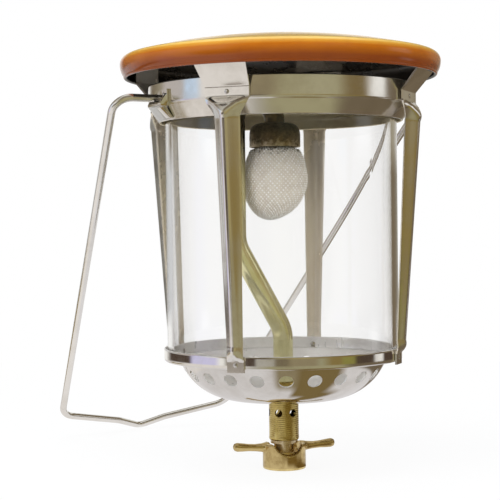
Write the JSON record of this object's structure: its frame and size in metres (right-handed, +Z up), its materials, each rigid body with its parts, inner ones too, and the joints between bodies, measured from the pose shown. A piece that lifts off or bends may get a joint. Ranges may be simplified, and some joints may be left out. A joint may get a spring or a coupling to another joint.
{
  "type": "gas lantern",
  "caption": "Small gas lantern with a domed hat, straight glass globe, pressed half-round struts, drilled base dish, mantle burner, wing nut inlet and a swinging wire bail.",
  "frame": {"origin": "centre of the wing nut's lower face, at the mouth of the gas inlet", "axes": "+Z up along the lantern's axis, X along the bail's pivots, and the bail rests swung towards +Y"},
  "size_m": [0.153, 0.2128, 0.1865],
  "materials": {
    "enamel": "gloss enamel, orange outside and black inside",
    "plated_sheet": "bright plated pressed sheet",
    "rivet_steel": "plain bright steel",
    "clear_glass": "clear, fire-polished ends",
    "plated_wire": "bright plated wire",
    "tube_brass": "bright drawn tube",
    "dark_steel": "heat-darkened",
    "ceramic": "unglazed",
    "mantle_mesh": "fine white knit",
    "turned_brass": "turned",
    "rubber": "matt",
    "cast_brass": "cast, lightly polished"
  },
  "bodies": {
    "lantern": {"hat": "enamel", "chimney_ring": "plated_sheet", "strut_front_left": "plated_sheet", "strut_front_right": "plated_sheet", "strut_back_right": "plated_sheet", "strut_back_left": "plated_sheet", "plate_rivets": "rivet_steel", "foot_rivets": "rivet_steel", "globe_glass": "clear_glass", "base_dish": "plated_sheet", "bail_lug_left": "plated_sheet", "bail_lug_right": "plated_sheet", "lug_rivets": "rivet_steel", "gas_tube": "tube_brass", "burner_bell": "dark_steel", "burner_nozzle": "ceramic", "mantle": "mantle_mesh", "mantle_tie": "mantle_mesh", "air_sleeve": "turned_brass", "sleeve_locknut": "turned_brass", "sleeve_washer": "rivet_steel", "injector_jet": "turned_brass", "tailpiece": "turned_brass", "inlet_seal": "rubber"},
    "bail": {"bail": "plated_wire"},
    "wing_nut": {"wing_nut": "cast_brass"}
  },
  "joints": [
    {"name": "bail_pivot", "type": "hinge", "parent": "lantern", "child": "bail", "pos_m": [0, 0, 0.1583], "axis": [1, 0, 0], "range_deg": [-22, 297]},
    {"name": "wing_nut_spin", "type": "hinge", "parent": "lantern", "child": "wing_nut", "pos_m": [0, 0, 0.005], "axis": [0, 0, 1], "continuous": true}
  ]
}
